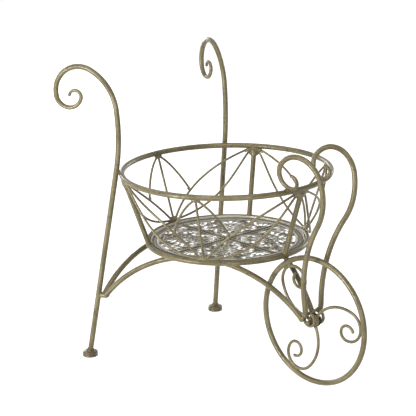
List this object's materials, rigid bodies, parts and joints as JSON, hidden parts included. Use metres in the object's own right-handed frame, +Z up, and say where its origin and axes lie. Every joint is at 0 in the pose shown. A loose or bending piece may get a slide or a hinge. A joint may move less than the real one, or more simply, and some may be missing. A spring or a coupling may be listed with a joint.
{
  "type": "wheelbarrow planter",
  "caption": "Wheelbarrow-shaped plant stand of bent round bar: an open wire basket with a pierced tray, scroll handles and a freely turning scroll-spoked wheel.",
  "frame": {"origin": "on the floor, under the middle of the whole stand", "axes": "+X forward to the wheel, +Y to the left, +Z up"},
  "size_m": [0.5142, 0.349, 0.499],
  "materials": {
    "bronze": "satin antique bronze, rubbed paler on the crowns of the bars",
    "pewter": "satin antique pewter, dark in the pressed lines",
    "dark": "matt black",
    "steel": "plain turned steel"
  },
  "bodies": {
    "frame": {"upper_rim": "bronze", "lower_ring": "bronze", "front_rib": "bronze", "left_rib": "bronze", "right_rib": "bronze", "left_centre_wire": "bronze", "right_centre_wire": "bronze", "rear_centre_wire": "bronze", "left_cross_wires": "bronze", "right_cross_wires": "bronze", "rear_cross_wires": "bronze", "left_hoop_wires": "bronze", "right_hoop_wires": "bronze", "rear_hoop_wires": "bronze", "left_skirt_wires": "bronze", "right_skirt_wires": "bronze", "rear_skirt_wires": "bronze", "tray": "pewter", "left_leg": "bronze", "right_leg": "bronze", "left_foot": "bronze", "right_foot": "bronze", "left_stub": "bronze", "right_stub": "bronze", "rear_arch": "bronze", "left_arch": "bronze", "right_arch": "bronze", "left_fork": "bronze", "right_fork": "bronze", "left_eye": "bronze", "right_eye": "bronze", "axle": "steel", "left_sleeve": "steel", "right_sleeve": "steel", "axle_washer": "dark"},
    "wheel": {"wheel_rim": "bronze", "wheel_hub": "bronze", "wheel_spoke_1": "bronze", "wheel_spoke_2": "bronze", "wheel_spoke_3": "bronze"}
  },
  "joints": [
    {"name": "wheel_spin", "type": "hinge", "parent": "frame", "child": "wheel", "pos_m": [0.15044, 0, 0.1067], "axis": [0, 1, 0], "continuous": true}
  ]
}
